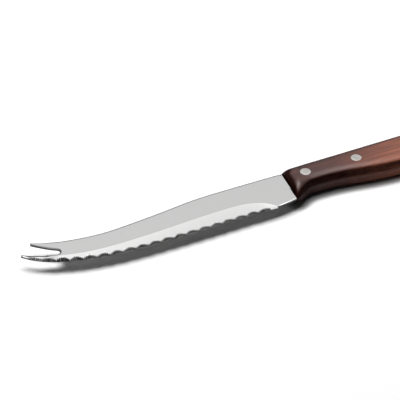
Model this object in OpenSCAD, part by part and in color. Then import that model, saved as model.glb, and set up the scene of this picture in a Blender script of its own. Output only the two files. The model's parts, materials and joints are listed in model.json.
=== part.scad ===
// Fork-tipped cheese knife lying on its side, in millimetres.
// X runs along the knife towards the butt, Y towards the spine, Z through the thickness.
// The origin is on the handle's resting face, midway between the two rivets.
// Every piece is drawn from the shoulder corner at the spine and then moved to that origin.

/* [Blade] */
// Length from the shoulder to the tip of the lower prong
blade_l = 108.2; // [95:0.1:125]
// Depth from the spine line to the points of the serration, at mid length
blade_h = 17.3; // [16:0.1:20]
// Depth of the plain heel, where the blade meets the handle
heel_h = 16; // [14.5:0.1:17]
// Thickness of the steel sheet
blade_t = 1; // [0.8:0.05:1.4]
// Thickness left at the ground edge
edge_t = 0.25; // [0.15:0.01:0.4]
// Width of the ground face below which the edge is left thicker
plunge_w = 4; // [2.5:0.1:6]

/* [Fork] */
// Length from the tip of the lower prong to the root of the gap
fork_l = 13.9; // [11:0.1:18]
// Radius at the root of the gap
fork_r = 1.6; // [1:0.05:1.9]
// Depth of the root's centre below the spine line
fork_drop = 5.4; // [4.8:0.1:6]
// How far the upper tip stands back from the lower one
tip_step = 5.45; // [4:0.05:7]
// Height of the upper tip above the spine line
upper_rise = 2.85; // [1.5:0.05:4.5]
// Depth of the lower tip below the spine line
lower_drop = 2; // [1:0.05:3]
// Radius of the prong tips
tip_r = 0.4; // [0.3:0.05:0.6]

/* [Serration] */
// Length of the plain heel, along the edge
plain_l = 11.9; // [8:0.1:20]
// Width of one scallop, along the edge
scallop_w = 5; // [4:0.1:7]
// Fine teeth in one scallop
scallop_teeth = 7; // [4:1:8]
// Depth of a scallop, square to its grinding direction
scallop_d = 0.3; // [0.2:0.01:0.45]
// Depth of a fine tooth, square to its grinding direction
tooth_d = 0.16; // [0.08:0.01:0.2]
// Angle between the grinding direction and the blade
grind_a = 14; // [12:1:18]

/* [Handle] */
// Length of the handle
handle_l = 108; // [95:1:125]
// Thickness between the flat faces
handle_t = 9.5; // [8.5:0.1:12]
// Depth of the neck, just behind the front
neck_h = 11.8; // [11.2:0.1:14]
// Depth at the swell
swell_h = 15.9; // [14:0.1:19]
// Depth at the waist, behind the swell
waist_h = 15.1; // [13:0.1:18]
// Depth ahead of the butt
butt_h = 16.5; // [15:0.1:20]
// How far the handle's spine lies below the blade's
spine_drop = 0.15; // [0.1:0.05:0.6]
// Width of the rounding along the spine
spine_round = 5.5; // [4.5:0.1:5.8]
// Height of the belly edges' rounding behind the neck
belly_round = 2.6; // [1.5:0.1:3]
// Width of the belly edges' rounding behind the neck
belly_wide = 3.4; // [2:0.1:4]
// Width of the belly rounding at the very front
guard_round = 5.5; // [3:0.1:6.5]
// Length of the flare at the front of the belly
guard_l = 8.4; // [5:0.1:9]
// Length over which the front's broad rounding passes into the belly edges
pillow_l = 8; // [5:0.5:14]
// Length over which the front rounds over
front_round = 3.4; // [2.5:0.1:4.2]
// Thickness of the flat front that meets the blade
front_t = 4; // [3:0.1:6]
// Slant of the handle's front and the shoulder
front_a = 6; // [0:1:10]
// Corner radius of the butt
butt_round = 7.2; // [5:0.1:7.4]
// Thickness of the flat at the very end of the butt
end_t = 3.2; // [2:0.1:5]

/* [Tang and rivets] */
// Length of the hidden tang behind the rear rivet
tang_tail = 17.5; // [10:0.5:30]
// Wood left between the tang and the belly at the neck
tang_wall = 1.8; // [1.2:0.1:2.4]
// How much deeper the tang is at its end
tang_flare = 0.9; // [0:0.1:1.5]
// Depth of the tang's upper edge in the open slot
tang_inset = 0.2; // [0:0.05:0.5]
// Corner radius at the end of the tang
tang_r = 3; // [1:0.5:4]
// Distance of the front rivet from the shoulder
rivet_x = 6.5; // [5.5:0.1:9]
// Distance between the rivets
rivet_pitch = 22; // [18:0.5:27]
// Diameter of a rivet's shank
rivet_d = 3.6; // [3:0.1:4]
// Diameter of a rivet's peened ends
rivet_head_d = 4.2; // [4:0.1:4.8]
// Height of a rivet's flared end
rivet_head_h = 1; // [0.6:0.1:1.6]
// Clearance around the tang in its slot
slot_gap = 0.05; // [0.03:0.01:0.15]
// Clearance around the rivets
rivet_gap = 0.04; // [0.02:0.01:0.1]

/* [Hidden] */
$fn = 48;
over = 0.6;

// Directions square to the outline at both ends of each tip and at the root of the gap
upper_a = [66, 223];
lower_a = [55, 227];
root_a = [58, -94];

// Places along the knife as shares of the blade's length, depths as shares of its depth
spine_shares = [[0, 0], [0.05, 0.012], [0.17, 0.022], [0.335, 0.02], [0.5, -0.083], [0.69, -0.163],
    [0.82, -0.075], [0.91, 0.085]];
edge_shares = [[0.06, 0.972], [0.13, 0.998], [0.3, 1], [0.46, 0.992], [0.6, 0.965], [0.72, 0.903],
    [0.82, 0.776], [0.905, 0.585], [0.965, 0.352]];
grind_shares = [[0.098, 0.988], [0.11, 0.885], [0.14, 0.735], [0.19, 0.625], [0.253, 0.59], [0.38, 0.6],
    [0.54, 0.642], [0.68, 0.652], [0.79, 0.597], [0.875, 0.47], [0.94, 0.29], [1.01, -0.02]];

// Places along the handle as shares of its length
neck_share = 0.1;
swell_share = 0.42;
waist_share = 0.71;
butt_share = 0.9;
// Depth of the rivets as shares of the handle's depth there
rivet_shares = [0.5973, 0.5778];
// How much of the full depth the first and the last scallop keep, and what each one before the last adds
first_share = 0.75;
last_share = 0.4;
step_share = 0.3;
// Rounding of the handle's front corners as a share of the front rounding
corner_share = 0.03;

function dir(a) = [cos(a), sin(a)];
function mix(a, b, t) = a + (b - a) * t;
function ease(t) = (1 - cos(180 * max(0, min(1, t)))) / 2;
function arc(c, r, a, b, n) = [for (i = [0:n]) c + r * dir(mix(a, b, i / n))];
function spine_place(s) = [-s[0] * blade_l, s[1] * blade_h];
function edge_place(s) = [-s[0] * blade_l, -s[1] * blade_h];

// Smooth curve through points, n steps to each span
function knot(p, i) = p[max(0, min(len(p) - 1, i))];
function cubic(a, b, c, d, t) =
    b + (c - a) * t / 2 + (a - 2.5 * b + 2 * c - d / 2) * t * t + (1.5 * (b - c) + (d - a) / 2) * t * t * t;
function spline(p, n) = concat(
    [for (i = [0:len(p) - 2], k = [0:n - 1]) cubic(knot(p, i - 1), p[i], p[i + 1], knot(p, i + 2), k / n)],
    [p[len(p) - 1]]);

// Point where the line from p along a meets the line from q along b
function meet(p, a, q, b) = p + dir(a) * cross(q - p, dir(b)) / cross(dir(a), dir(b));
// Curve from p to q that leaves along a and arrives along b
function bend(p, a, q, b, n) = let (m = meet(p, a, q, b))
    [for (i = [1:n - 1]) let (t = i / n) mix(mix(p, m, t), mix(m, q, t), t)];

// Fork: centres of the tips and of the root
upper_tip = [tip_step + tip_r - blade_l, upper_rise];
lower_tip = [tip_r - blade_l, -lower_drop];
root_c = [fork_l + fork_r - blade_l, -fork_drop] - [2 * fork_r, 0];

upper_end = upper_tip + tip_r * dir(upper_a[1]);
root_top = root_c + fork_r * dir(root_a[0]);
root_low = root_c + fork_r * dir(root_a[1]);
lower_end = lower_tip + tip_r * dir(lower_a[0]);

// Outlines of the blade, from the shoulder to the tips and back
shoulder_low = [-heel_h * tan(front_a), -heel_h];
spine_line = spline(concat([for (s = spine_shares) spine_place(s)], [upper_tip + tip_r * dir(upper_a[0])]), 5);
edge_line = spline(concat([shoulder_low], [for (s = edge_shares) edge_place(s)],
    [lower_tip + tip_r * dir(lower_a[1])]), 7);
grind_line = spline([for (s = grind_shares) edge_place(s)], 4);
fork_line = concat(
    arc(upper_tip, tip_r, upper_a[0], upper_a[1], 8),
    bend(upper_end, upper_a[1] + 90, root_top, root_a[0] - 90, 8),
    arc(root_c, fork_r, root_a[0], root_a[1], 12),
    bend(root_low, root_a[1] - 90, lower_end, lower_a[0] + 90, 10),
    arc(lower_tip, tip_r, lower_a[0], lower_a[1], 8));

// Tang, from the shoulder round its end and back along the spine
tang_l = rivet_x + rivet_pitch + tang_tail;
tang_top = -spine_drop - tang_inset;
tang_low = -spine_drop - neck_h + tang_wall;
tang_line = concat(
    [[tang_low * tan(front_a), tang_low]],
    arc([tang_l - tang_r, tang_low - tang_flare + tang_r], tang_r, -90, 0, 6),
    arc([tang_l - tang_r, tang_top - tang_r], tang_r, 0, 90, 6),
    [[tang_top * tan(front_a), tang_top]]);

// Length along the edge, from the shoulder, and the place at a given length
function run(p, i = 1, s = 0) = i == len(p) ? [s] : concat([s], run(p, i + 1, s + norm(p[i] - p[i - 1])));
edge_run = run(edge_line);
edge_l = edge_run[len(edge_run) - 1];
function edge_at(s) = [for (k = [0, 1]) lookup(s, [for (i = [0:len(edge_run) - 1]) [edge_run[i], edge_line[i][k]]])];

// Depth of the handle at a few places, and its smooth run between them
belly_knots = [[0, heel_h - spine_drop], [guard_l, neck_h], [neck_share * handle_l, neck_h],
    [swell_share * handle_l, swell_h], [waist_share * handle_l, waist_h],
    [butt_share * handle_l, butt_h], [handle_l, butt_h]];
function depth_at(x) = let (
    i = min(len(belly_knots) - 2, len([for (k = belly_knots) if (k[0] <= x) k]) - 1),
    a = belly_knots[i], b = belly_knots[i + 1])
    mix(a[1], b[1], ease((x - a[0]) / (b[0] - a[0])));
// Places of the rivets, and the point midway between them
rivets = [for (i = [0, 1]) let (x = rivet_x + i * rivet_pitch)
    [x, -spine_drop - rivet_shares[i] * depth_at(x)]];
rest = (rivets[0] + rivets[1]) / 2;

// Skins a stack of closed rings and caps both ends
function skin(rings) = let (n = len(rings[0]), m = len(rings)) concat(
    [[for (k = [0:n - 1]) k]],
    [for (i = [0:m - 2], k = [0:n - 1]) let (a = i * n, b = a + n, j = (k + 1) % n) each
        [[a + k, b + k, b + j], [a + k, b + j, a + j]]],
    [[for (k = [n - 1:-1:0]) (m - 1) * n + k]]);
module skinned(rings) polyhedron([for (r = rings) each r], skin(rings), convexity = 6);

module placed() translate([-rest[0], -rest[1], handle_t / 2]) children();

// Wedge that grinds one face from the grind line down to the edge
module grind() {
    edge_y = [for (i = [len(edge_line) - 1:-1:0]) edge_line[i]];
    top = blade_t / 2 + over;
    rings = [for (g = grind_line) let (
        y = lookup(g[0], edge_y),
        w = max(0, g[1] - y),
        slope = (blade_t - edge_t) / 2 / max(w, plunge_w))
        [[g[0], min(g[1], y) - over, blade_t / 2 - slope * (w + over)], [g[0], min(g[1], y) - over, top],
            [g[0], g[1], top], [g[0], g[1], blade_t / 2]]];
    skinned(rings);
}

// One pass of the ribbed wheel: a scallop with its fine teeth, ground up from the edge
module scallop(i, count) {
    a = edge_at(plain_l + i * scallop_w);
    b = edge_at(plain_l + (i + 1) * scallop_w);
    c = (a + b) / 2;
    k = min(1, first_share + i, last_share + step_share * (count - 1 - i));
    clear = edge_t / 2 + tooth_d / 8;
    n = 2 * scallop_teeth;
    reach = (blade_t / 2 + scallop_d + tooth_d) / sin(grind_a);
    wheel = concat(
        [for (j = [0:n]) let (u = j / n - 0.5)
            [u * scallop_w, clear - k * (scallop_d * (1 - 4 * u * u) + (j % 2) * tooth_d)]],
        [[scallop_w / 2, blade_t], [-scallop_w / 2, blade_t]]);
    translate([c[0], c[1], 0]) rotate([0, 0, atan2(a[1] - b[1], a[0] - b[0])]) rotate([90 + grind_a, 0, 0])
        translate([0, 0, -reach]) linear_extrude(reach + scallop_w) polygon(wheel);
}

module blade() {
    count = floor((edge_l - plain_l) / scallop_w);
    color("silver") placed() difference() {
        linear_extrude(blade_t, center = true)
            polygon(concat(spine_line, fork_line, [for (i = [len(edge_line) - 2:-1:0]) edge_line[i]], tang_line));
        grind();
        mirror([0, 0, 1]) grind();
        for (i = [0:count - 1]) scallop(i, count);
        for (r = rivets) translate([r[0], r[1], -blade_t]) cylinder(d = rivet_d + 2 * rivet_gap, h = 2 * blade_t);
    }
}

// Section of the handle: elliptical spine side, flat faces, rounded belly edges
function section(x, half, top, low, wide, tall) = let (
    k = tan(front_a) * (1 - ease(x / (3 * guard_l))),
    a = min(spine_round, (top - low) * 0.45),
    b = min(wide, (top - low) * 0.4),
    c = min(tall, half),
    quarter = concat(
        [for (t = [0:15:90]) [top - a + a * cos(t), half * sin(t)]],
        [for (t = [90:-15:0]) [low + b - b * cos(t), half - c + c * sin(t)]]))
    [for (p = concat(quarter, [for (i = [len(quarter) - 1:-1:1]) [quarter[i][0], -quarter[i][1]]]))
        [x + p[0] * k, p[0], p[1]]];

module handle_body() {
    half = handle_t / 2;
    mid_l = handle_l - front_round - butt_round;
    corner = front_round * corner_share;
    front = [for (t = [0:18:90]) let (x = slot_gap + (front_round - slot_gap) * (1 - cos(t)), g = ease(x / pillow_l))
        section(x, mix(front_t / 2, half, sin(t)), -spine_drop - corner * (1 - sin(t)),
            -spine_drop - depth_at(x) + corner * (1 - sin(t)) / 2,
            mix(guard_round, belly_wide, g), mix(half, belly_round, g))];
    middle = [for (i = [1:20]) let (x = front_round + mid_l * pow(i / 20, 1.5), g = ease(x / pillow_l))
        section(x, half, -spine_drop, -spine_drop - depth_at(x),
            mix(guard_round, belly_wide, g), mix(half, belly_round, g))];
    butt = [for (t = [15:15:90]) let (x = handle_l - butt_round * (1 - sin(t)), in = butt_round * (1 - cos(t)))
        section(x, mix(end_t / 2, half, cos(t)), -spine_drop - in, -spine_drop - depth_at(x) + in,
            belly_wide, belly_round)];
    skinned(concat(front, middle, butt));
}

// Rivet, or the hole for it when a clearance is given
module rivet_shape(gap) {
    half = handle_t / 2;
    past = gap > 0 ? over : 0;
    r = rivet_d / 2 + gap;
    head = rivet_head_d / 2 + gap;
    rotate_extrude() polygon([[0, -half - past], [head, -half - past], [head, -half], [r, rivet_head_h - half],
        [r, half - rivet_head_h], [head, half], [head, half + past], [0, half + past]]);
}

module handle() {
    slot_end = tang_l + slot_gap;
    slot_low = tang_low - slot_gap;
    color("saddlebrown") placed() difference() {
        handle_body();
        linear_extrude(blade_t + 2 * slot_gap, center = true) polygon(concat(
            [[slot_low * tan(front_a) - over, slot_low]],
            arc([slot_end - tang_r, slot_low - tang_flare + tang_r], tang_r, -90, 0, 6),
            [[slot_end, over], [-over, over]]));
        for (r = rivets) translate([r[0], r[1], 0]) rivet_shape(rivet_gap);
    }
}

module rivet(i) color("gainsboro") placed() translate([rivets[i][0], rivets[i][1], 0]) rivet_shape(0);

module front_rivet() rivet(0);
module rear_rivet() rivet(1);

blade();
handle();
front_rivet();
rear_rivet();
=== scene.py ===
import json
import math
from functools import partial
import bpy
import numpy as np
from mathutils import Matrix, Vector
from mathutils.geometry import tessellate_polygon

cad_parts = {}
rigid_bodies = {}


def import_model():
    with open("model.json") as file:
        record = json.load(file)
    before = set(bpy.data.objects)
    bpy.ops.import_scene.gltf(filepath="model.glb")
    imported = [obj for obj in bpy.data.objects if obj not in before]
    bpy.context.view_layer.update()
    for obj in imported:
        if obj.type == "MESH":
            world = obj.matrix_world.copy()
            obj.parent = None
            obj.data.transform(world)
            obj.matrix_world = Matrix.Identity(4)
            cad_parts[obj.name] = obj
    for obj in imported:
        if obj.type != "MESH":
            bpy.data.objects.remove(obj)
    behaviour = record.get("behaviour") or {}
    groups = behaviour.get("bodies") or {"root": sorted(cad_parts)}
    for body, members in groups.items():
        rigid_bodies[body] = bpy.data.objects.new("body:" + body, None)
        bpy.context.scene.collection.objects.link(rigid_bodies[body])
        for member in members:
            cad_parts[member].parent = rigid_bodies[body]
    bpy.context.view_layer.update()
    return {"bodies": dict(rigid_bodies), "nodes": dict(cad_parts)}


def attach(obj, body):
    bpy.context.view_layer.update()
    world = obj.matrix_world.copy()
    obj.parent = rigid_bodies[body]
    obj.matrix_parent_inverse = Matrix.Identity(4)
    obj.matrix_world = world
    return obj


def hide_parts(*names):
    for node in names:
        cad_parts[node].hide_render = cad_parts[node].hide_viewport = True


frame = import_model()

mm = 0.001
root = list(frame["bodies"])[0]
scene = bpy.context.scene
print("frame loaded:", ", ".join(sorted(frame["nodes"])))

# camera, floor and light

cameraSet = {
    "target": (-0.0527, 0.00695, 0.00525),  # middle of the picture, on the blade
    "azimuth": -26.05,
    "elevation": 38.0,
    "distance": 0.65,
    "lens": 154.44,
    "sensorWidth": 36.0,
    "nearest": 0.01,
}

lightSet = {
    "lampAim": (-0.02, 0.0, 0.0),
    "lampAzimuth": 188.0,  # behind the knife
    "lampElevation": 76.0,
    "lampDistance": 0.8,
    "lampSize": (0.62, 0.5),
    "lampPower": 6.4,
    "fill": 0.03,  # world light on rough surfaces
    "overhead": 7.0,  # brightest part of the surround that the surfaces mirror
    "levels": (0.3, 1.0, 1.25, 1.35, 7.0),  # brightness of the surround at these heights
    "heights": (0.1, 0.62, 0.74, 0.88, 0.94),
}

floorSet = {
    "size": 6.0,
    "drop": 0.00002,  # below the handle's flat
    "colour": (0.72, 0.72, 0.72),
    "seen": 1.75,  # how much paler the camera sees the floor
    "contactReach": 0.0042,  # of the painted contact shadow where the handle meets the table
    "contactPower": 3.5,
    "paintedContactShadow": 0.3,
    "contactSamples": 16,
    "fade": (0.35, 0.9),  # distances over which it passes into the white background
}


def onSphere(azimuth, elevation):
    a, e = math.radians(azimuth), math.radians(elevation)
    return Vector((math.sin(a) * math.cos(e), -math.cos(a) * math.cos(e), math.sin(e)))


def aimAt(thing, place, target):
    thing.location = place
    thing.rotation_euler = (Vector(target) - Vector(place)).to_track_quat("-Z", "Y").to_euler()


def addNode(tree, kind, values=None, **settings):  # a node among the values stands for its first output
    node = tree.nodes.new(kind)
    for name, value in settings.items():
        setattr(node, name, value)
    for key, value in (values or {}).items():
        value = value.outputs[0] if isinstance(value, bpy.types.Node) else value
        if isinstance(value, bpy.types.NodeSocket):
            tree.links.new(value, node.inputs[key])
        else:
            node.inputs[key].default_value = value
    return node


def maths(tree, operation, *values):  # one Math node of a shader or geometry tree
    return addNode(tree, "ShaderNodeMath", dict(enumerate(values)), operation=operation)


def ranged(tree, value, fromLow, fromHigh, toLow=0.0, toHigh=1.0, **settings):
    limits = {"Value": value, "From Min": fromLow, "From Max": fromHigh, "To Min": toLow, "To Max": toHigh}
    return addNode(tree, "ShaderNodeMapRange", limits, **settings)


def scaled(tree, vector, factor):
    return addNode(tree, "ShaderNodeVectorMath", {0: vector, "Scale": factor}, operation="SCALE")


def added(tree, a, b):
    return addNode(tree, "ShaderNodeVectorMath", {0: a, 1: b}, operation="ADD")


def mixed(tree, a, b, t):  # of two colours
    return addNode(tree, "ShaderNodeMix", {0: t, 6: a, 7: b}, data_type="RGBA").outputs[2]


def objectPlace(tree):
    return addNode(tree, "ShaderNodeTexCoord").outputs["Object"]


def attribute(tree, name):
    return addNode(tree, "ShaderNodeAttribute", attribute_name=name).outputs["Fac"]


def newMaterial(name):
    material = bpy.data.materials.new(name)
    material.use_nodes = True
    material.node_tree.nodes.clear()
    return material, material.node_tree


def makeCamera(values):
    data = bpy.data.cameras.new("camera")
    data.lens = values["lens"]
    data.sensor_width = values["sensorWidth"]
    data.clip_start = values["nearest"]
    camera = bpy.data.objects.new("camera", data)
    scene.collection.objects.link(camera)
    back = onSphere(values["azimuth"], values["elevation"])
    aimAt(camera, Vector(values["target"]) + back * values["distance"], values["target"])
    scene.camera = camera


def rayKinds(tree, depth):  # camera rays, and the mirror rays of metal and glass that the camera sees
    rays = addNode(tree, "ShaderNodeLightPath")
    mirrored = maths(tree, "MAXIMUM", rays.outputs["Is Glossy Ray"], rays.outputs["Is Transmission Ray"])
    mirrored = maths(tree, "MULTIPLY", mirrored, maths(tree, "LESS_THAN", rays.outputs["Ray Depth"], depth + 0.5))
    return rays.outputs["Is Camera Ray"], mirrored


def makeLight(values):
    data = bpy.data.lights.new("softbox", "AREA")
    data.shape = "RECTANGLE"
    data.size, data.size_y = values["lampSize"]
    data.energy = values["lampPower"]
    lamp = bpy.data.objects.new("softbox", data)
    scene.collection.objects.link(lamp)
    lamp.visible_glossy = False  # the surround stands in for it in reflections
    aim = Vector(values["lampAim"])
    aimAt(lamp, aim + onSphere(values["lampAzimuth"], values["lampElevation"]) * values["lampDistance"], aim)

    world = bpy.data.worlds.new("surround")
    world.use_nodes = True
    tree = world.node_tree
    tree.nodes.clear()
    direct, mirrored = rayKinds(tree, 2)
    height = addNode(tree, "ShaderNodeSeparateXYZ", {0: addNode(tree, "ShaderNodeTexCoord").outputs["Generated"]})
    sky = addNode(tree, "ShaderNodeValToRGB", {"Fac": height.outputs["Z"]})
    for place in values["heights"][1:-1]:
        sky.color_ramp.elements.new(place)
    for stop, place, level in zip(sky.color_ramp.elements, values["heights"], values["levels"]):
        stop.position, stop.color = place, (*[level / values["overhead"]] * 3, 1)
    sky = maths(tree, "MULTIPLY", maths(tree, "MULTIPLY", sky, values["overhead"]), mirrored)
    strength = maths(tree, "ADD", maths(tree, "ADD", direct, sky), values["fill"])
    white = addNode(tree, "ShaderNodeBackground", {"Color": (1, 1, 1, 1), "Strength": strength})
    addNode(tree, "ShaderNodeOutputWorld", {"Surface": white})
    scene.world = world


def makeFloor(values):
    half = values["size"] / 2
    mesh = bpy.data.meshes.new("floor")
    z = -values["drop"]
    mesh.from_pydata([(-half, -half, z), (half, -half, z), (half, half, z), (-half, half, z)], [], [(0, 1, 2, 3)])
    floor = bpy.data.objects.new("floor", mesh)
    scene.collection.objects.link(floor)
    material, tree = newMaterial("whiteTable")
    direct, mirrored = rayKinds(tree, 1)
    away = addNode(tree, "ShaderNodeVectorMath", {0: objectPlace(tree)}, operation="LENGTH").outputs["Value"]
    fade = ranged(tree, away, *values["fade"])
    plain = addNode(tree, "ShaderNodeBsdfDiffuse", {"Color": (*values["colour"], 1)})
    # painted contact shadow: the floor darkens by ambient occlusion near the handle
    closeBy = addNode(tree, "ShaderNodeAmbientOcclusion", {"Distance": values["contactReach"]},
                      samples=values["contactSamples"])
    contact = maths(tree, "MAXIMUM", maths(tree, "POWER", closeBy.outputs["AO"], values["contactPower"]),
                    values["paintedContactShadow"])
    shaded = scaled(tree, [c * values["seen"] for c in values["colour"]], contact)
    pale = addNode(tree, "ShaderNodeBsdfDiffuse", {"Color": shaded})
    glow = addNode(tree, "ShaderNodeEmission", {"Color": (1, 1, 1, 1), "Strength": 1.0})
    seen = addNode(tree, "ShaderNodeMixShader", {
        0: maths(tree, "ADD", direct, mirrored), 1: plain, 2: pale})
    far = maths(tree, "MULTIPLY", fade, direct)
    whole = addNode(tree, "ShaderNodeMixShader", {0: far, 1: seen, 2: glow})
    addNode(tree, "ShaderNodeOutputMaterial", {"Surface": whole})
    mesh.materials.append(material)


makeCamera(cameraSet)
makeLight(lightSet)
makeFloor(floorSet)
scene.view_settings.view_transform = "Standard"
print("camera, light and floor ready")

# lines in the knife's own plane, in mm


def heading(degrees):
    angle = math.radians(degrees)
    return np.array([math.cos(angle), math.sin(angle)])


def mix(a, b, t):
    return a + (b - a) * t


def ease(t):
    return (1 - math.cos(math.pi * max(0.0, min(1.0, t)))) / 2


def arcLine(centre, radius, start, end, steps):
    return [centre + radius * heading(mix(start, end, i / steps)) for i in range(steps + 1)]


def smoothLine(points, steps):
    points = [np.array(p, float) for p in points]
    line = []
    for i in range(len(points) - 1):
        a, b, c, d = [points[max(0, min(len(points) - 1, i + k))] for k in (-1, 0, 1, 2)]
        for k in range(steps):
            t = k / steps
            line.append(b + (c - a) * t / 2 + (a - 2.5 * b + 2 * c - d / 2) * t * t
                        + (1.5 * (b - c) + (d - a) / 2) * t ** 3)
    return line + [points[-1]]


def cross2(a, b):
    return a[0] * b[1] - a[1] * b[0]


def bendLine(p, startHeading, q, endHeading, steps):
    a, b = heading(startHeading), heading(endHeading)
    m = p + a * cross2(q - p, b) / cross2(a, b)
    return [mix(mix(p, m, i / steps), mix(m, q, i / steps), i / steps) for i in range(1, steps)]


# sizes of the handle, the blade and the rivets, in mm, with the origin at the shoulder on the spine line

handleSet = {
    "length": 108.0,
    "thickness": 9.5,
    "neckDepth": 11.8,
    "swellDepth": 15.9,
    "waistDepth": 15.1,
    "buttDepth": 16.5,
    "neckPlace": 0.1,  # places are shares of the length
    "swellPlace": 0.42,
    "waistPlace": 0.71,
    "buttPlace": 0.9,
    "spineDrop": 0.15,
    "spineRound": 5.5,
    "bellyRound": 2.1,
    "bellyWide": 4.0,
    "guardRound": 5.5,
    "guardLength": 8.4,
    "pillowLength": 8.0,
    "frontRound": 3.4,
    "frontThickness": 4.0,
    "frontAngle": 6.0,
    "cornerShare": 0.03,
    "buttRound": 7.2,
    "endThickness": 3.2,
    "slotClearance": 0.05,
    "slotPast": 0.6,  # how far the cutters reach past the wood
    "sections": 100,
    "crowding": 1.3,  # closer sections near the front
    "sharpFrom": 32.0,
}

bladeSet = {
    "length": 108.2,
    "depth": 17.3,
    "heelDepth": 16.0,
    "thickness": 1.0,
    "edgeThickness": 0.25,
    "plungeWidth": 4.0,
    "hollow": 0.42,  # how far the ground face is scooped
    "forkLength": 13.9,
    "forkRadius": 1.6,
    "forkDrop": 5.4,
    "tipStep": 5.45,
    "upperRise": 2.85,
    "lowerDrop": 2.0,
    "tipRadius": 0.4,
    "spine": [(0, 0), (0.05, 0.012), (0.17, 0.022), (0.335, 0.02), (0.5, -0.083), (0.69, -0.163), (0.82, -0.075),
              (0.91, 0.085)],
    "edge": [(0.06, 0.972), (0.13, 0.998), (0.3, 1), (0.46, 0.992), (0.6, 0.965), (0.72, 0.903), (0.82, 0.776),
             (0.905, 0.585), (0.965, 0.352)],
    "grind": [(0.098, 0.988), (0.11, 0.885), (0.14, 0.735), (0.19, 0.625), (0.253, 0.59), (0.38, 0.6),
              (0.54, 0.642), (0.68, 0.652), (0.79, 0.597), (0.875, 0.47), (0.94, 0.29), (1.01, -0.02)],
    "tipAngles": (66, 223),  # headings of the upper tip's ends, in degrees
    "lowTipAngles": (55, 180, 227),
    "rootAngles": (58, -94),
    "softInset": (0.34, 0.12, 0.0),  # rounding of the stamped outline
    "softDrop": (0.0, 0.035, 0.1),
    "prongInset": (0.75, 0.12, 0.0),  # its inset along the upper side of the lower prong
    "rimLeast": 0.5,  # scale of the rounding at the upper tip
    "rimGrowth": 0.12,  # added for each mm from there
    "rimMost": 1.5,
    "prongRim": 0.6,  # at the end of the lower prong, and what is added towards the root
    "prongGrowth": 2.0,
    "heelRim": 1.2,
    "grindRim": 0.4,  # where the grind starts
    "grindRunIn": 0.15,
    "tangLength": 46.0,
    "tangWall": 1.8,
    "tangFlare": 0.9,
    "tangInset": 0.2,
    "tangCorner": 3.0,
    "sharpFrom": 28.0,
}

bladeSteps = {  # how finely each line of the blade is drawn
    "spine": 12,
    "tip": 14,
    "gap": 18,
    "root": 24,
    "prong": 26,
    "edge": 30,
    "grind": 24,
    "heel": 12,
    "runIn": 14,  # from the start of the grind to the first scallop
    "crowding": 1.4,  # closer columns near that start
    "tooth": 10,
    "runOut": 12,
    "tipArc": 6,
    "tangCorner": 8,
    "hole": 40,
    "cutRows": 4,
    "faceRows": 7,
    "backRows": 7,
}

rivetSet = {
    "front": 6.5,  # from the shoulder
    "pitch": 22.0,
    "depthShares": (0.5973, 0.5778),
    "shank": 3.6,
    "headWidth": 4.2,
    "headHeight": 1.0,
    "clearance": 0.04,
    "chamfer": 0.1,
    "turn": 2.4,  # most of the random turn about its own line, in radians
    "seed": 3,
    "sharpFrom": 14.0,
}


def bellyKnots(h):  # places along the belly, and the depths there
    return ([(0.0, bladeSet["heelDepth"] - h["spineDrop"]), (h["guardLength"], h["neckDepth"])]
            + [(h[part + "Place"] * h["length"], h[part + "Depth"]) for part in ("neck", "swell", "waist", "butt")]
            + [(h["length"], h["buttDepth"])])


def leanOf(h):  # of the shoulder and the handle's front
    return math.tan(math.radians(h["frontAngle"]))


def depthAt(h, x):
    knots = bellyKnots(h)
    i = min(len(knots) - 2, max(0, sum(1 for k in knots if k[0] <= x) - 1))
    a, b = knots[i], knots[i + 1]
    return mix(a[1], b[1], ease((x - a[0]) / (b[0] - a[0])))


def rivetPlace(r, h, i):
    x = r["front"] + i * r["pitch"]
    return x, -h["spineDrop"] - r["depthShares"][i] * depthAt(h, x)


rivetPlaces = [rivetPlace(rivetSet, handleSet, i) for i in (0, 1)]
restX, restY = [(a + b) / 2 for a, b in zip(*rivetPlaces)]
restZ = -handleSet["thickness"] / 2


def placed(x, y, z):  # from the shoulder, in mm, to the shared frame, in metres
    return Vector(((x - restX) * mm, (y - restY) * mm, (z - restZ) * mm))


def meshObject(name, verts, faces):
    mesh = bpy.data.meshes.new(name)
    mesh.from_pydata(verts, [], faces)
    mesh.validate(clean_customdata=False)
    made = bpy.data.objects.new(name, mesh)
    scene.collection.objects.link(made)
    return made


def keepMesh(made):  # turns the evaluated object into a plain mesh with no modifier
    graph = bpy.context.evaluated_depsgraph_get()
    graph.update()
    mesh = bpy.data.meshes.new_from_object(made.evaluated_get(graph), depsgraph=graph)
    made.modifiers.clear()
    old = made.data
    made.data = mesh
    bpy.data.meshes.remove(old)
    return made


# steel finishes, each with its least and most roughness and the strength and depth of its marks

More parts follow.
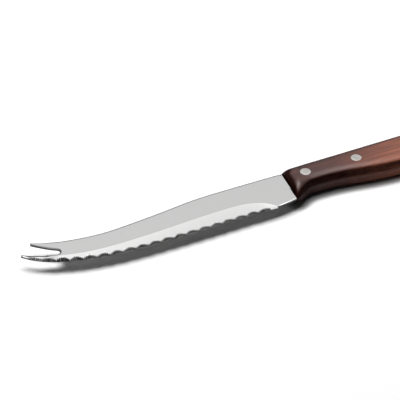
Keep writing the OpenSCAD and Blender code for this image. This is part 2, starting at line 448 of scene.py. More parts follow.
steelSet = {
    "satin": {
        "colour": (0.565, 0.565, 0.562),
        "spread": 0.014,
        "roughness": (0.12, 0.18),
        "bump": (0.02, 0.00001),
        "lines": (60, 3200, 1),  # how often the marks repeat, per metre
        "cloud": (55, 55, 55),
    },
    "ground": {
        "colour": (0.64, 0.64, 0.636),
        "spread": 0.02,
        "roughness": (0.12, 0.19),
        "bump": (0.03, 0.00001),
        "lines": (9, 60, 1),  # per mm along the edge, then per metre
        # painted shade: the lower prong's bevel is darkened by place
        "prongShade": 0.45,
        "prongRange": (-0.118, -0.113),  # along the knife, in metres
    },
    "tooth": {
        # the gullets' near-black colour is painted shade, and the randomly pale ridges are painted glints
        "pale": (0.62, 0.62, 0.62),
        "dark": (0.004, 0.004, 0.004),
        "ridge": 0.35,  # how much of a tooth's height stays pale; below it lies painted shade
        "roughness": (0.35, 0.48),
        "bump": (0.25, 0.00002),
        "grit": (2600, 2600, 2600),
        "gritColour": (0.1, 0.1, 0.1),
        "gritShare": 0.12,
    },
    "shearedShaded": {
        # a dull sheared finish, its near-black colour partly painted shade
        "colour": (0.08, 0.08, 0.082),
        "spread": 0.35,
        "roughness": (0.37, 0.53),
        "bump": (0.3, 0.00003),
        "lines": (1800, 1800, 120),
    },
}


def fineLines(tree, place, stretch, detail=3.0):
    stretched = addNode(tree, "ShaderNodeMapping", {"Vector": place, "Scale": stretch})
    return addNode(tree, "ShaderNodeTexNoise", {
        "Vector": stretched, "Scale": 1.0, "Detail": detail, "Roughness": 0.6})


def between(tree, noise, low, high):  # the middle of a noise, spread over a range
    return ranged(tree, noise, 0.3, 0.7, low, high)


def paleDark(tree, value, dark, pale):
    ramp = addNode(tree, "ShaderNodeValToRGB", {"Fac": value})
    for stop, position, colour in zip(ramp.color_ramp.elements, (0.25, 0.75), (dark, pale)):
        stop.position, stop.color = position, (*colour, 1)
    return ramp


def varied(tree, noise, values):  # a colour that wanders a little
    spread = values["spread"]
    dark, pale = [tuple(c * share for c in values["colour"]) for share in (1 - spread, 1 + spread)]
    return paleDark(tree, noise, dark, pale)


def closeSurface(tree, values, colour, mottle, marks, metallic=1.0, shine=0.5):
    strength, depth = values["bump"]
    bump = addNode(tree, "ShaderNodeBump", {"Height": marks, "Strength": strength, "Distance": depth})
    skin = addNode(tree, "ShaderNodeBsdfPrincipled", {
        "Base Color": colour, "Roughness": between(tree, mottle, *values["roughness"]), "Normal": bump,
        "Metallic": metallic, "Specular IOR Level": shine})
    addNode(tree, "ShaderNodeOutputMaterial", {"Surface": skin})


def makeSatinSteel(values):
    material, tree = newMaterial("satinSteel")
    place = objectPlace(tree)
    lines, cloud = fineLines(tree, place, values["lines"]), fineLines(tree, place, values["cloud"], 2.0)
    colour = varied(tree, maths(tree, "MULTIPLY_ADD", lines, 0.5, maths(tree, "MULTIPLY", cloud, 0.5)), values)
    closeSurface(tree, values, colour, lines, lines)
    return material


def makeGroundSteel(values):
    material, tree = newMaterial("groundSteel")
    apart = addNode(tree, "ShaderNodeSeparateXYZ", {0: objectPlace(tree)}).outputs
    across = addNode(tree, "ShaderNodeCombineXYZ", {0: attribute(tree, "along"), 1: apart["Y"]})
    lines = fineLines(tree, across, values["lines"])
    # painted shade on the bevel of the lower prong
    prong = ranged(tree, apart["X"], *values["prongRange"], values["prongShade"])
    closeSurface(tree, values, scaled(tree, varied(tree, lines, values), prong), lines, lines)
    return material


def makeToothSteel(values):
    material, tree = newMaterial("toothSteel")
    grit = fineLines(tree, objectPlace(tree), values["grit"])
    # painted shade in the gullets and on ridges without a painted glint
    paintedGulletShade = maths(tree, "MAXIMUM", maths(tree, "DIVIDE", attribute(tree, "gullet"), values["ridge"]),
                   maths(tree, "SUBTRACT", 1.0, attribute(tree, "glint")))
    shade = mixed(tree, (*values["pale"], 1), (*values["dark"], 1), maths(tree, "MINIMUM", paintedGulletShade, 1.0))
    colour = mixed(tree, shade, (*values["gritColour"], 1), between(tree, grit, 0.0, values["gritShare"]))
    closeSurface(tree, values, colour, grit, grit)
    return material


def makeShearedShadedSteel(values):
    # dull sheared steel, darkened further as painted shade
    material, tree = newMaterial("shearedShadedSteel")
    lines = fineLines(tree, objectPlace(tree), values["lines"])
    closeSurface(tree, values, varied(tree, lines, values), lines, lines)
    return material


steelFinishes = [make(values) for make, values in zip(
    (makeSatinSteel, makeGroundSteel, makeToothSteel, makeShearedShadedSteel), steelSet.values())]
satin, ground, toothed, shearedShaded = range(4)
print("steel finishes ready")

# blade blank: stamped outline and ground faces

toothSet = {
    "Plain Heel": 11.9,
    "Scallop Width": 5.0,
    "Scallop Depth": 0.28,
    "Teeth": 7,
    "Tooth Depth": 0.18,
    "Tooth Opening": 0.95,
    "Uneven": 0.2,
    "Seed": 5,
    "Grinding Angle": 14.0,
    "First Share": 0.75,
    "Last Share": 0.4,
    "Step Share": 0.3,
    "Land": 0.03,
    "Crest": 0.12,
}


def bladeLines(b, h, steps):
    tip, (upperFrom, upperTo), (lowFrom, lowEnd, lowTo) = b["tipRadius"], b["tipAngles"], b["lowTipAngles"]
    gap, (rootFrom, rootTo) = b["forkRadius"], b["rootAngles"]
    shoulder = np.array([-b["heelDepth"] * leanOf(h), -b["heelDepth"]])
    upperTip = np.array([b["tipStep"] + tip - b["length"], b["upperRise"]])
    lowerTip = np.array([tip - b["length"], -b["lowerDrop"]])
    rootCentre = np.array([b["forkLength"] - gap - b["length"], -b["forkDrop"]])
    spine, edge, grind = [[np.array([-s * b["length"], side * d * b["depth"]]) for s, d in b[name]]
                          for name, side in (("spine", 1), ("edge", -1), ("grind", -1))]
    rootTop, rootLow = rootCentre + gap * heading(rootFrom), rootCentre + gap * heading(rootTo)
    upperBend = bendLine(upperTip + tip * heading(upperTo), upperTo + 90, rootTop, rootFrom - 90, steps["gap"])
    lowerBend = bendLine(rootLow, rootTo - 90, lowerTip + tip * heading(lowFrom), lowFrom + 90, steps["prong"])
    return {
        "spine": smoothLine(spine + [upperTip + tip * heading(upperFrom)], steps["spine"]),
        "fork": (arcLine(upperTip, tip, upperFrom, upperTo, steps["tip"]) + upperBend
                 + arcLine(rootCentre, gap, rootFrom, rootTo, steps["root"])),
        "inner": [rootLow] + lowerBend + arcLine(lowerTip, tip, lowFrom, lowEnd, steps["tip"]),
        "edge": smoothLine([shoulder] + edge + [lowerTip + tip * heading(lowTo)], steps["edge"]),
        "tipArc": arcLine(lowerTip, tip, lowTo, lowEnd, steps["tipArc"]),
        "grind": smoothLine(grind, steps["grind"]),
    }


def tangSide(b, h, clear=0.0):  # lower side of the tang or of its slot, with the rear corner
    low, end, r = -h["spineDrop"] - h["neckDepth"] + b["tangWall"] - clear, b["tangLength"] + clear, b["tangCorner"]
    return ([np.array([low * leanOf(h), low])]
            + arcLine(np.array([end - r, low - b["tangFlare"] + r]), r, -90, 0, bladeSteps["tangCorner"]))


def tangLine(b, h):
    top, r = -h["spineDrop"] - b["tangInset"], b["tangCorner"]
    return (tangSide(b, h) + arcLine(np.array([b["tangLength"] - r, top - r]), r, 0, 90, bladeSteps["tangCorner"])
            + [np.array([top * leanOf(h), top])])


def inwards(loop, i):  # mitred inward direction of a closed anticlockwise loop
    before, here, after = loop[i - 1], loop[i], loop[(i + 1) % len(loop)]
    a, b = here - before, after - here
    a, b = a / np.linalg.norm(a), b / np.linalg.norm(b)
    na, nb = np.array([-a[1], a[0]]), np.array([-b[1], b[0]])
    return (na + nb) / max(0.4, 1 + na @ nb)  # no longer than that at a sharp corner


def makeBladeBlank(b, h, teeth, steps):
    lines = bladeLines(b, h, steps)
    half = b["thickness"] / 2
    grind = np.array(lines["grind"])
    lower = np.array(lines["edge"] + lines["tipArc"][1:])
    run = np.concatenate([[0.0], np.cumsum(np.linalg.norm(np.diff(lower, axis=0), axis=1))])  # length from the heel
    edgeRun = run[len(lines["edge"]) - 1]
    slope = np.gradient(lower, run, axis=0)

    def onLine(line, x, values=None):  # what a line that runs towards the tip has at x
        return float(np.interp(-x, -line[:, 0], line[:, 1] if values is None else values))

    def edgeY(x):
        return onLine(lower, x)

    def grindY(x):
        return max(onLine(grind, x), edgeY(x))

    def scoop(r):
        return r * (1 - b["hollow"] + b["hollow"] * r)

    def edgeZ(x):  # half the thickness left at the edge
        gap = grindY(x) - edgeY(x)
        return half - (b["thickness"] - b["edgeThickness"]) / 2 * min(1.0, gap / b["plungeWidth"])

    def farShareAt(p):
        gap = grindY(p[0]) - edgeY(p[0])
        return max(0.0, min(1.0, (p[1] - edgeY(p[0])) / gap)) if gap > 1e-6 else 1.0

    def faceZ(p):
        return mix(edgeZ(p[0]), half, scoop(farShareAt(p)))

    inner = lines["inner"]
    cut = next(i for i, p in enumerate(inner) if p[1] > grindY(p[0]))  # where the grind line leaves at the fork
    a, c = inner[cut - 1], inner[cut]
    ga, gc = grindY(a[0]) - a[1], grindY(c[0]) - c[1]
    crossing = mix(a, c, ga / (ga - gc))
    farSide = np.array([crossing] + inner[cut:])

    # columns along the edge, from the start of the grind to the tip
    startRun = onLine(lower, -b["grind"][0][0] * b["length"], run) - b["grindRunIn"]
    crossRun = onLine(lower, crossing[0], run)
    count = int((edgeRun - teeth["Plain Heel"]) // teeth["Scallop Width"])
    sawEnd = teeth["Plain Heel"] + count * teeth["Scallop Width"]
    perScallop = teeth["Teeth"] * steps["tooth"]
    runIn, runOut, tipArc, crowding = [steps[name] for name in ("runIn", "runOut", "tipArc", "crowding")]
    places = ([mix(startRun, teeth["Plain Heel"], (i / runIn) ** crowding) for i in range(runIn)]
              + [teeth["Plain Heel"] + i * teeth["Scallop Width"] / perScallop for i in range(count * perScallop)]
              + [mix(sawEnd, edgeRun, i / runOut) for i in range(runOut)]
              + [mix(edgeRun, run[-1], i / tipArc) for i in range(tipArc + 1)])
    nearest = min(range(len(places)), key=lambda i: abs(places[i] - crossRun))
    places[nearest] = crossRun

    def at(s, line=lower):
        return np.array([np.interp(s, run, line[:, k]) for k in (0, 1)])

    def inwardAt(s):
        t = at(s, slope)
        return np.array([t[1], -t[0]]) / np.linalg.norm(t)

    # closed outline, anticlockwise from the shoulder at the spine
    upper = lines["spine"] + lines["fork"][1:] + inner[1:cut] + [crossing]
    tipSide = [np.array([x, onLine(farSide, x)]) for x in [at(s)[0] for s in places[nearest + 1:-1]]]
    lowerLoop = [at(s) for s in reversed(places)]
    heel = [at(mix(startRun, 0, i / steps["heel"])) for i in range(1, steps["heel"] + 1)]
    parts = (("rim", upper), ("tip", tipSide), ("edge", lowerLoop), ("heel", heel), ("tang", tangLine(b, h)))
    loop = [p for zone, part in parts for p in part]
    zones = [zone for zone, part in parts for p in part]

    verts, faces, finish = [], [], []
    vectors = ("edgeAt", "inward", "farAt")
    data = {key: [] for key in ("along", "zone", "share", "width", "edgeZ", "farShare", *vectors)}

    def addVert(p, z, **values):
        verts.append(placed(*p, z))
        for key in data:
            data[key].append(values.get(key, (0, 0, 0) if key in vectors else 0.0))
        return len(verts) - 1

    def addFace(corners, kind):
        kept = [v for i, v in enumerate(corners) if v != corners[i - 1]]
        if len(set(kept)) == len(kept) >= 3:
            faces.append(kept)
            finish.append(kind)

    def insetsAt(i):
        return b["prongInset" if zones[i] == "tip" else "softInset"]

    def softColumn(i, z, scale):
        way = inwards(loop, i)
        levels = [(loop[i] + way * inset * scale, z - drop * scale)
                  for inset, drop in zip(insetsAt(i), b["softDrop"])]
        return [addVert(p, level) for p, level in levels] + [addVert(p, -level) for p, level in reversed(levels)]

    columns, rims = {}, {}
    upperTip = lines["fork"][steps["tip"] // 2]
    for i, kind in enumerate(zones):
        if kind == "tip":
            rims[i] = min(1.0, b["prongRim"] + b["prongGrowth"] * (1 - (i - len(upper)) / len(tipSide)))
        elif kind == "heel":
            rims[i] = b["heelRim"]
        elif kind != "edge":
            rims[i] = min(b["rimMost"], b["rimLeast"] + b["rimGrowth"] * np.linalg.norm(loop[i] - upperTip))
    for i, rim in rims.items():
        columns[i] = softColumn(i, faceZ(loop[i]) if zones[i] == "tip" else half, rim)
    tipEnd = len(upper) + len(tipSide)
    grindStart = tipEnd + len(lowerLoop) - 1
    columns[grindStart] = softColumn(grindStart, half, b["grindRim"])

    cutRows, faceRows, backRows = steps["cutRows"], steps["faceRows"], steps["backRows"]
    fronts, backs = [], []
    tipZ = edgeZ(loop[tipEnd][0])
    for q, s in enumerate(places):
        p, way = at(s), inwardAt(s)
        if q == 0:  # start of the grind, where the rows fan out from the rim
            ring = columns[grindStart]
            fronts.append([ring[2]] * 2 + [ring[1]] * 4 + [ring[0]] * (cutRows + faceRows - 5))
            backs.append([ring[3]] * 2 + [ring[4]] * 2 + [ring[5]] * (backRows - 3))
            continue
        if q == len(places) - 1:  # end of the lower prong, where they meet
            fronts.append([addVert(p, tipZ)] * (cutRows + faceRows + 1))
            backs.append([addVert(p, -tipZ)] * (backRows + 1))
            continue
        near = edgeZ(p[0])
        if q < nearest:
            far, farShare, ring = np.array([p[0], grindY(p[0])]), 1.0, [None] * 6
        else:
            ringAt = len(upper) - 1 + (q - nearest)
            ring = columns[ringAt]
            far = loop[ringAt] + inwards(loop, ringAt) * (insetsAt(ringAt)[0] * rims[ringAt])
            farShare = farShareAt(loop[ringAt])
        farZ = mix(near, half, scoop(farShare))
        common = {"along": s, "width": max(0.2, (grindY(p[0]) - p[1]) * way[1]), "edgeZ": near, "farShare": farShare,
                  "edgeAt": tuple(placed(*p, 0)), "inward": (*way, 0), "farAt": tuple(placed(*far, 0))}
        column = [addVert(p, near, zone=1, share=k / cutRows, **common) for k in range(cutRows + 1)]
        for strip, side, zone, rows, last in ((fronts, 1, 2, faceRows, ring[0]), (backs, -1, 3, backRows, ring[5])):
            for k in range(1 if column else 0, rows + 1):  # the front goes on from its cut
                t = k / rows
                column.append(last if k == rows and last is not None else
                              addVert(mix(p, far, t), side * mix(near, farZ, t), zone=zone, share=t, **common))
            strip.append(column)
            column = []

    for q in range(len(places) - 1):
        a, c = fronts[q], fronts[q + 1]
        for m in range(cutRows + faceRows):
            addFace([a[m], a[m + 1], c[m + 1], c[m]], toothed if m < cutRows and q >= runIn else ground)
        a, c = backs[q], backs[q + 1]
        for m in range(backRows):
            addFace([a[m], c[m], c[m + 1], a[m + 1]], ground)
        addFace([fronts[q + 1][0], c[0], a[0], fronts[q][0]], shearedShaded if q >= runIn else ground)

    columns[tipEnd] = [fronts[-1][0]] * 3 + [backs[-1][0]] * 3
    size = len(loop)
    for i in range(size):
        j = (i + 1) % size
        if i in columns and j in columns and not tipEnd <= i < grindStart:
            kind = ground if zones[i] == "heel" or i == grindStart else shearedShaded
            for k in range(5):
                addFace([columns[i][k], columns[i][k + 1], columns[j][k + 1], columns[j][k]],
                        kind if k != 2 else shearedShaded)

    holes = []
    radius = rivetSet["shank"] / 2 + rivetSet["clearance"]
    for place in rivetPlaces:
        circle = arcLine(np.array(place), radius, 0, 360, steps["hole"])[:-1]
        top, bottom = [[addVert(p, z) for p in circle] for z in (half, -half)]
        holes.append((top, bottom))
        for i in range(len(circle)):
            j = (i + 1) % len(circle)
            addFace([top[i], top[j], bottom[j], bottom[i]], shearedShaded)

    for side, row, strip in ((0, 0, fronts), (1, 5, backs)):  # the two flat faces, with the holes left open
        rings = [[columns[i][row] for i in range(len(upper))]
                 + [strip[q][-1] for q in range(nearest - 1, 0, -1)]
                 + [columns[i][row] for i in range(grindStart, size)]] + [hole[side] for hole in holes]
        flat = [v for ring in rings for v in ring]
        for triangle in tessellate_polygon([[verts[v] for v in ring] for ring in rings]):
            corners = [flat[k] for k in triangle]
            p, q, r = [verts[v] for v in corners]
            up = (q - p).cross(r - p).z > 0
            addFace(corners if up != bool(side) else corners[::-1], satin)

    blank = meshObject("bladeSteel", verts, faces)
    mesh = blank.data
    for key, values in data.items():
        kind, field = ("FLOAT_VECTOR", "vector") if key in vectors else ("FLOAT", "value")
        mesh.attributes.new(key, kind, "POINT").data.foreach_set(field, np.array(values, np.float32).ravel())
    mesh.attributes.new("finish", "INT", "FACE").data.foreach_set("value", finish)
    return blank, count


blade, toothSet["Scallops"] = makeBladeBlank(bladeSet, handleSet, toothSet, bladeSteps)
print("blade blank:", len(blade.data.polygons), "faces,", toothSet["Scallops"], "scallops")

# scalloped and toothed edge, cut into the blank by the same rule all along


def newTree(name, values):
    tree = bpy.data.node_groups.new(name, "GeometryNodeTree")
    tree.interface.new_socket("Geometry", in_out="INPUT", socket_type="NodeSocketGeometry")
    names = {}
    for label, value in values.items():
        kind = "NodeSocketInt" if isinstance(value, int) else "NodeSocketFloat"
        names[label] = tree.interface.new_socket(label, in_out="INPUT", socket_type=kind).identifier
    tree.interface.new_socket("Geometry", in_out="OUTPUT", socket_type="NodeSocketGeometry")
    return tree, names, addNode(tree, "NodeGroupInput").outputs


def useTree(made, tree, names, values):
    modifier = made.modifiers.new(tree.name, "NODES")
    modifier.node_group = tree
    for label, value in values.items():
        modifier[names[label]] = value
    return keepMesh(made)


def named(tree, name, kind="FLOAT"):
    return addNode(tree, "GeometryNodeInputNamedAttribute", {"Name": name}, data_type=kind)


def moveAlong(tree, start, way, length):
    return added(tree, start, scaled(tree, way, length))


def mixValues(tree, a, b, t):
    return addNode(tree, "ShaderNodeMix", {0: t, 2: a, 3: b}, data_type="FLOAT")


def mixPoints(tree, a, b, t):
    return addNode(tree, "ShaderNodeMix", {0: t, 4: a, 5: b}, data_type="VECTOR").outputs[1]


def choose(tree, test, a, b, kind):
    return addNode(tree, "GeometryNodeSwitch", {"Switch": test, "False": a, "True": b}, input_type=kind)


def isZone(tree, value, number):
    return addNode(tree, "FunctionNodeCompare", {0: value, 1: float(number), "Epsilon": 0.1},
                   data_type="FLOAT", operation="EQUAL")


def makeToothTree(values, blank, steels):
    tree, names, size = newTree("scallopedEdge", values)
    plus, minus, times, over, timesPlus, least, most, floor, rest = [partial(maths, tree, name) for name in (
        "ADD", "SUBTRACT", "MULTIPLY", "DIVIDE", "MULTIPLY_ADD", "MINIMUM", "MAXIMUM", "FLOOR", "FRACT")]
    along, zone, share, width, edgeZ, farShare = [
        named(tree, name) for name in ("along", "zone", "share", "width", "edgeZ", "farShare")]
    edgeAt, inward, farAt = [named(tree, name, "FLOAT_VECTOR") for name in ("edgeAt", "inward", "farAt")]
    half, scoop = blank["thickness"] / 2, blank["hollow"]
    lift, leastSlope, leastShare, mostShare = 0.125, 0.05, 0.3, 0.75  # shares of a tooth's depth and of the face

    count = over(minus(along, size["Plain Heel"]), size["Scallop Width"])
    inside = times(maths(tree, "GREATER_THAN", count, -0.001),
                   maths(tree, "LESS_THAN", count, plus(size["Scallops"], 0.001)))
    u = rest(count)
    centred = minus(u, 0.5)
    toGo = minus(minus(size["Scallops"], 1.0), floor(count))
    full = least(timesPlus(most(0.0, floor(count)), 1.0, size["First Share"]),
                 timesPlus(toGo, size["Step Share"], size["Last Share"]))
    full = least(1.0, full)  # less for the first and the last scallops
    arch = times(size["Scallop Depth"], timesPlus(times(centred, centred), -4.0, 1.0))
    ridge = times(maths(tree, "ABSOLUTE", minus(rest(times(u, size["Teeth"])), 0.5)), 2.0)
    opened = over(ridge, size["Tooth Opening"])
    gullet = times(most(0.0, minus(1.0, times(opened, opened))), inside)
    tooth = times(count, size["Teeth"])

    def chance(number, low, high, seed):
        return addNode(tree, "FunctionNodeRandomValue", {2: low, 3: high, "ID": number, "Seed": seed},
                       data_type="FLOAT").outputs[1]

    uneven = chance(floor(tooth), minus(1.0, size["Uneven"]), plus(1.0, size["Uneven"]), size["Seed"])
    # random brightness of each ridge, for painted glints in the tooth steel
    glint = chance(floor(plus(tooth, 0.5)), 0.0, 1.0, plus(size["Seed"], 1.0))
    cut = times(full, timesPlus(times(gullet, uneven), size["Tooth Depth"], arch))
    cut = minus(times(cut, inside), times(minus(1.0, inside), 10.0))  # well clear of the plain edge
    clear = timesPlus(size["Tooth Depth"], lift, blank["edgeThickness"] / 2)
    level = minus(clear, cut)  # height of the cut right at the edge line
    steep = maths(tree, "TANGENT", maths(tree, "RADIANS", size["Grinding Angle"]))
    slope = times(over(minus(half, edgeZ), width), 1 - scoop)

    edgeInset = most(0.0, over(minus(minus(size["Land"], level), edgeZ), plus(steep, slope)))
    crestInset = over(minus(edgeZ, level), most(leastSlope, minus(steep, slope)))
    reach = times(width, farShare)
    crestInset = most(plus(edgeInset, least(size["Crest"], times(reach, leastShare))), times(crestInset, inside))
    crestInset = least(times(reach, mostShare), crestInset)

    def faceHeight(r):
        return timesPlus(minus(half, edgeZ), times(r, timesPlus(r, scoop, 1 - scoop)), edgeZ)

    inset = mixValues(tree, edgeInset, crestInset, share)
    cutHeight = least(timesPlus(inset, steep, level), faceHeight(over(inset, width)))
    cutPoint = moveAlong(tree, edgeAt, inward, times(inset, mm))
    crest = moveAlong(tree, edgeAt, inward, times(crestInset, mm))
    faceShare = mixValues(tree, over(crestInset, width), farShare, share)
    facePoint = mixPoints(tree, crest, farAt, share)
    backStart = moveAlong(tree, edgeAt, inward, times(edgeInset, mm))
    backShare = mixValues(tree, over(edgeInset, width), farShare, share)
    backPoint = mixPoints(tree, backStart, farAt, share)
    backHeight = times(faceHeight(backShare), -1.0)

    onFace, onBack = isZone(tree, zone, 2), isZone(tree, zone, 3)
    place = choose(tree, onFace, cutPoint, facePoint, "VECTOR")
    place = choose(tree, onBack, place, backPoint, "VECTOR")
    height = choose(tree, onFace, cutHeight, faceHeight(faceShare), "FLOAT")
    height = choose(tree, onBack, height, backHeight, "FLOAT")
    up = addNode(tree, "ShaderNodeCombineXYZ", {2: times(height, mm)})

    shape = addNode(tree, "GeometryNodeSetPosition", {
        "Geometry": size["Geometry"], "Selection": maths(tree, "GREATER_THAN", zone, 0.5),
        "Position": added(tree, place, up)})
    for name, value in (("gullet", gullet), ("glint", glint)):
        shape = addNode(tree, "GeometryNodeStoreNamedAttribute", {
            "Geometry": shape, "Name": name, "Value": value}, data_type="FLOAT", domain="POINT")
    shape = addNode(tree, "GeometryNodeRealizeInstances", {"Geometry": shape})
    finish = named(tree, "finish", "INT")
    for number, steel in enumerate(steels):
        chosen = addNode(tree, "FunctionNodeCompare", {2: finish, 3: number}, data_type="INT", operation="EQUAL")
        shape = addNode(tree, "GeometryNodeSetMaterial", {"Geometry": shape, "Selection": chosen, "Material": steel})
    addNode(tree, "NodeGroupOutput", {"Geometry": shape})
    return tree, names


def sharpen(made, degrees):  # smooth faces, sharp where finishes meet or the angle is wide
    mesh = made.data
    mesh.shade_smooth()
    mesh.set_sharp_from_angle(angle=math.radians(degrees))
    meets = {}
    for polygon in mesh.polygons:
        for key in polygon.edge_keys:
            meets.setdefault(key, set()).add(polygon.material_index)
    sharp = mesh.attributes.get("sharp_edge") or mesh.attributes.new("sharp_edge", "BOOLEAN", "EDGE")
    for i, edge in enumerate(mesh.edges):
        if len(meets[tuple(sorted(edge.vertices))]) > 1:
            sharp.data[i].value = True


toothTree, toothNames = makeToothTree(toothSet, bladeSet, steelFinishes)
useTree(blade, toothTree, toothNames, toothSet)
for layer in ("zone", "share", "width", "edgeZ", "farShare", "edgeAt", "inward", "farAt", "finish"):
    blade.data.attributes.remove(blade.data.attributes[layer])
sharpen(blade, bladeSet["sharpFrom"])
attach(blade, root)
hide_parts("blade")
print("blade cut:", len(blade.data.polygons), "faces")

# handle: lofted wood with its slot and rivet holes

woodSet = {
    "dark": (0.04, 0.011, 0.008),
    "middle": (0.105, 0.037, 0.029),
    "warm": (0.41, 0.134, 0.073),
    "warmRange": (0.002, 0.028),  # along the knife, in metres
    "warmSpread": (0.75, 1.1),
    "bands": (14, 520, 300),  # how often each layer of the grain repeats, per metre
    "fibres": (60, 2600, 1700),
    "pores": (240, 6200, 5200),
    "poreRange": (0.62, 0.72),
    "poreShade": 0.55,
    "warpScale": 35.0,
    "warp": 0.0022,  # how far the grain wanders, in metres
    "cloudScale": 26.0,
    "darkFrom": 56.0,  # slope in degrees past which the rounded sides are dark with painted shade
    "paleUpTo": 28.0,
    "paintedSideShade": 0.45,
    "spineLoss": 0.95,  # how far the spine side and the front count as sides, which get painted shade
    "frontLoss": 0.25,
    "frontShade": 0.65,
    "frontRange": (-0.009, 0.005),
    "roughness": (0.3, 0.43),
    "bump": (0.12, 0.00005),
    "shine": 0.43,
    "sideShine": 0.01,
    "paintedLowLight": 0.3,  # painted light on the lower half behind the front, as if from the table
    "lowShine": 0.2,
    "lowRange": (0.0058, 0.004),  # height above the resting face
    "behindRange": (-0.022, -0.008),
}


def makeWood(values):
    material, tree = newMaterial("lacqueredWood")
    times, timesPlus = partial(maths, tree, "MULTIPLY"), partial(maths, tree, "MULTIPLY_ADD")
    place = objectPlace(tree)
    apart = addNode(tree, "ShaderNodeSeparateXYZ", {0: place}).outputs
    warp = addNode(tree, "ShaderNodeTexNoise", {"Vector": place, "Scale": values["warpScale"], "Detail": 2.0})
    bent = added(tree, place, scaled(tree, warp.outputs["Color"], values["warp"]))
    bands, fibres, pores = [fineLines(tree, bent, values[layer], detail) for layer, detail in
                            (("bands", 4.0), ("fibres", 5.0), ("pores", 2.0))]
    cloud = addNode(tree, "ShaderNodeTexNoise", {"Vector": place, "Scale": values["cloudScale"], "Detail": 1.0})
    warm = times(ranged(tree, apart["X"], *values["warmRange"]), between(tree, cloud, *values["warmSpread"]))
    grain = between(tree, timesPlus(bands, 0.6, times(fibres, 0.4)), 0.05, 0.95)
    colour = mixed(tree, paleDark(tree, grain, values["dark"], values["middle"]),
                   paleDark(tree, grain, values["middle"], values["warm"]), warm)
    front = ranged(tree, apart["X"], *values["frontRange"], values["frontShade"])
    dots = ranged(tree, pores, *values["poreRange"], 1.0, values["poreShade"])
    # painted shade: the sides, the spine side and the front are darker and duller by the way they face
    facing = addNode(tree, "ShaderNodeTexCoord").outputs["Normal"]
    facing = addNode(tree, "ShaderNodeSeparateXYZ", {0: facing}).outputs
    sides = timesPlus(maths(tree, "MAXIMUM", facing["Y"], 0.0), -values["spineLoss"], 1.0)
    sides = timesPlus(maths(tree, "MINIMUM", facing["X"], 0.0), values["frontLoss"], sides)
    level = times(maths(tree, "ABSOLUTE", facing["Z"]), sides)
    limits = [math.cos(math.radians(values[name])) for name in ("darkFrom", "paleUpTo")]
    top = ranged(tree, level, *limits, interpolation_type="SMOOTHSTEP")
    # painted light: the lower half behind the front is paler and shinier
    low = ranged(tree, apart["Z"], *values["lowRange"], interpolation_type="SMOOTHSTEP")
    low = times(low, ranged(tree, apart["X"], *values["behindRange"]))
    shade = timesPlus(top, 1 - values["paintedSideShade"], values["paintedSideShade"])
    shade = timesPlus(low, values["paintedLowLight"], times(shade, front))
    shine = timesPlus(top, values["shine"] - values["sideShine"], values["sideShine"])
    shine = maths(tree, "MAXIMUM", shine, times(low, values["lowShine"]))
    height = timesPlus(fibres, 0.6, times(dots, 0.4))
    closeSurface(tree, values, scaled(tree, colour, times(dots, shade)), fibres, height, 0.0, shine)
    return material


def handleRing(h, x, half, top, low, wide, tall):
    lean = leanOf(h) * (1 - ease(x / (3 * h["guardLength"])))  # fades out behind the guard
    a = min(h["spineRound"], (top - low) * 0.45)
    b = min(wide, (top - low) * 0.4)
    c = min(tall, half)
    quarter = [(top - a + a * math.cos(t), half * math.sin(t)) for t in np.radians(np.arange(0, 90, 5))]
    flatFrom, flatTo = top - a, low + b
    quarter += [(mix(flatFrom, flatTo, k / 6), half) for k in range(6)]
    quarter += [(low + b - b * math.cos(t), half - c + c * math.sin(t)) for t in np.radians(np.arange(90, -1, -6))]
    ring = quarter + [(y, -z) for y, z in quarter[-2:0:-1]]
    return [placed(x + y * lean, y, z) for y, z in ring]


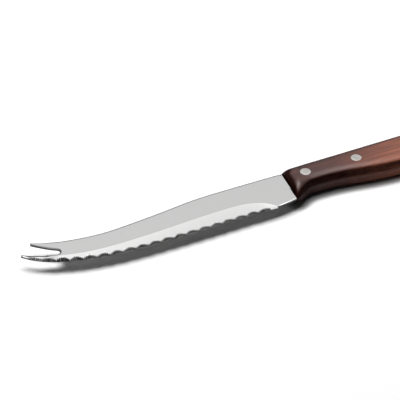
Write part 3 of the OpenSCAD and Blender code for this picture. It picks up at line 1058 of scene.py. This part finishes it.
def makeHandle(h, b):
    half, clear, past = h["thickness"] / 2, h["slotClearance"], h["slotPast"]
    corner = h["frontRound"] * h["cornerShare"]
    rings = []

    def addRing(x, thick, inset=0.0, rise=0.0):
        g = ease(x / h["pillowLength"])
        rings.append(handleRing(h, x, thick, -h["spineDrop"] - inset, -h["spineDrop"] - depthAt(h, x) + rise,
                                mix(h["guardRound"], h["bellyWide"], g), mix(half, h["bellyRound"], g)))

    for t in np.radians(np.arange(0, 91, 6)):
        inset, thick = corner * (1 - math.sin(t)), mix(h["frontThickness"] / 2, half, math.sin(t))
        addRing(clear + (h["frontRound"] - clear) * (1 - math.cos(t)), thick, inset, inset / 2)
    span = h["length"] - h["frontRound"] - h["buttRound"]
    for i in range(1, h["sections"] + 1):
        addRing(h["frontRound"] + span * (i / h["sections"]) ** h["crowding"], half)
    for t in np.radians(np.arange(5, 91, 5)):
        inset, thick = h["buttRound"] * (1 - math.cos(t)), mix(h["endThickness"] / 2, half, math.cos(t))
        addRing(h["length"] - h["buttRound"] * (1 - math.sin(t)), thick, inset, inset)
    n = len(rings[0])
    faces = [list(range(n))]
    for i in range(len(rings) - 1):
        for k in range(n):
            j = (k + 1) % n
            faces.append([i * n + k, (i + 1) * n + k, (i + 1) * n + j, i * n + j])
    faces.append([(len(rings) - 1) * n + k for k in range(n - 1, -1, -1)])
    made = meshObject("handleWood", [v for ring in rings for v in ring], faces)

    # slot for the tang, open at the front and along the spine
    side = tangSide(b, h, clear) + [np.array([b["tangLength"] + clear, past]), np.array([-past, past])]
    side[0][0] -= past
    gap = b["thickness"] / 2 + clear
    m = len(side)
    slotVerts = [placed(*p, z) for z in (-gap, gap) for p in side]
    slotFaces = ([list(range(m - 1, -1, -1)), [m + k for k in range(m)]]
                 + [[k, (k + 1) % m, m + (k + 1) % m, m + k] for k in range(m)])
    profile = rivetProfile(rivetSet, half, rivetSet["clearance"], past)
    cutters = [meshObject("slotCutter", slotVerts, slotFaces)]
    cutters += [turned("boreCutter", profile, *place) for place in rivetPlaces]
    for cutter in cutters:
        cut = made.modifiers.new(cutter.name, "BOOLEAN")
        cut.object, cut.operation, cut.solver = cutter, "DIFFERENCE", "EXACT"
    keepMesh(made)
    for cutter in cutters:
        bpy.data.objects.remove(cutter)
    return made


def rivetProfile(r, half, clear, past):  # radius and height, from the lower end to the upper one
    head, shank, rise = r["headWidth"] / 2 + clear, r["shank"] / 2 + clear, r["headHeight"]
    if past:
        return [(0, -half - past), (head, -half - past), (head, -half), (shank, rise - half), (shank, half - rise),
                (head, half), (head, half + past), (0, half + past)]
    c = r["chamfer"]
    lower = [(0, -half), (head - 1.6 * c, -half), (head - 0.5 * c, c * 0.3 - half), (head, c - half),
             (shank, rise - half)]
    return lower + [(radius, -z) for radius, z in reversed(lower)]


def turned(name, profile, x, y, steps=64):
    verts, faces, rings = [], [], []
    for radius, z in profile:
        if radius == 0:
            rings.append([len(verts)] * steps)
            verts.append(placed(x, y, z))
        else:
            rings.append([len(verts) + k for k in range(steps)])
            verts += [placed(x + radius * math.cos(t), y + radius * math.sin(t), z)
                      for t in [2 * math.pi * k / steps for k in range(steps)]]
    for a, b in zip(rings, rings[1:]):
        for k in range(steps):
            j = (k + 1) % steps
            corners = [a[k], a[j], b[j], b[k]]
            faces.append([v for i, v in enumerate(corners) if v != corners[i - 1]])
    return meshObject(name, verts, faces)


handle = makeHandle(handleSet, bladeSet)
handle.data.materials.clear()
handle.data.materials.append(makeWood(woodSet))
sharpen(handle, handleSet["sharpFrom"])
handle.visible_glossy = False  # a satin blade shows no clear image of it
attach(handle, root)
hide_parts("handle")
print("handle:", len(handle.data.polygons), "faces")

# rivets, one turned shape set at both places

rivetMetal = {
    "pale": (0.5, 0.482, 0.46),
    "dull": (0.36, 0.347, 0.33),
    "roughness": (0.28, 0.46),
    "bump": (0.12, 0.00002),
    "mottle": 620.0,
    "lines": (900, 5200, 900),
}


def makeAluminium(values):
    material, tree = newMaterial("groundAluminium")
    place = objectPlace(tree)
    cloud = addNode(tree, "ShaderNodeTexNoise", {"Vector": place, "Scale": values["mottle"], "Detail": 4.0})
    lines = fineLines(tree, place, values["lines"])
    colour = paleDark(tree, maths(tree, "MULTIPLY_ADD", cloud, 0.7, maths(tree, "MULTIPLY", lines, 0.3)),
                      values["dull"], values["pale"])
    closeSurface(tree, values, colour, cloud, lines)
    return material


def makeRivets(r, h):
    half = h["thickness"] / 2
    shape = turned("rivetShape", rivetProfile(r, half, 0.0, 0.0), restX, restY)
    shape.data.transform(Matrix.Translation((0, 0, restZ * mm)))
    shape.data.materials.append(makeAluminium(rivetMetal))
    sharpen(shape, r["sharpFrom"])
    spots = meshObject("rivetPair", [placed(x, y, 0) for x, y in rivetPlaces], [])
    values = {"Turn": r["turn"], "Seed": r["seed"]}
    tree, names, given = newTree("rivetsAtPoints", values)
    spin = addNode(tree, "FunctionNodeRandomValue", {2: 0.0, 3: given["Turn"], "Seed": given["Seed"]},
                   data_type="FLOAT").outputs[1]
    turn = addNode(tree, "ShaderNodeCombineXYZ", {2: spin})
    source = addNode(tree, "GeometryNodeObjectInfo", {"Object": shape}).outputs["Geometry"]
    pair = addNode(tree, "GeometryNodeInstanceOnPoints", {
        "Points": given["Geometry"], "Instance": source, "Rotation": turn})
    real = addNode(tree, "GeometryNodeRealizeInstances", {"Geometry": pair})
    real = addNode(tree, "GeometryNodeSetMaterial", {"Geometry": real, "Material": shape.data.materials[0]})
    addNode(tree, "NodeGroupOutput", {"Geometry": real})
    useTree(spots, tree, names, values)
    bpy.data.objects.remove(shape)
    return spots


rivets = makeRivets(rivetSet, handleSet)
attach(rivets, root)
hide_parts("front_rivet", "rear_rivet")
print("rivets:", len(rivets.data.polygons), "faces")
